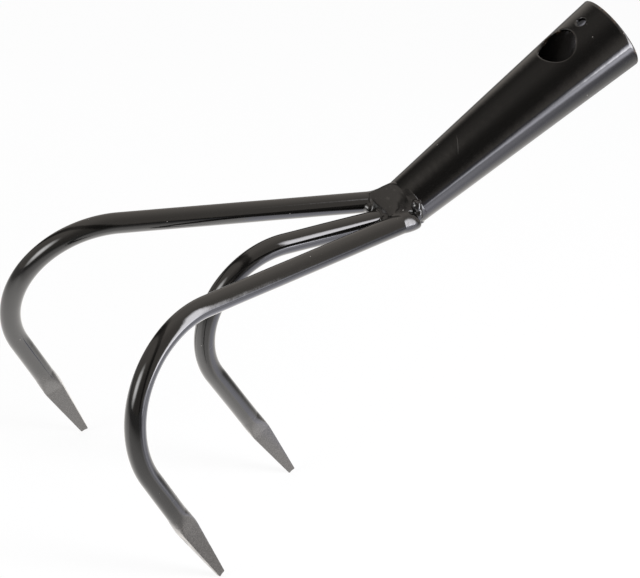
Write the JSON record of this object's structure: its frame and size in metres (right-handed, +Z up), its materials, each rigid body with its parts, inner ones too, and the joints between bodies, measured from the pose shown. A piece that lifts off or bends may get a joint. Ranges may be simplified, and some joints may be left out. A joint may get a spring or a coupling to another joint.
{
  "type": "hand cultivator head",
  "caption": "Old garden hand cultivator head: a tapered steel handle socket with forged, bent tines welded to it, painted gloss black.",
  "frame": {"origin": "on the ground under the head, at the middle of its length and width, with the head standing on its three points", "axes": "+Y runs forward from the socket to the tines, +Z is up, and +X points across the head, square to its plane of symmetry"},
  "size_m": [0.136, 0.2931, 0.2362],
  "materials": {
    "black_paint": "gloss",
    "weld_paint": "gloss"
  },
  "bodies": {
    "root": {"socket": "black_paint", "tine_right": "black_paint", "tine_left": "black_paint", "tine_middle": "black_paint", "weld_top": "weld_paint", "weld_right": "weld_paint", "weld_left": "weld_paint", "weld_under": "weld_paint"}
  },
  "joints": []
}
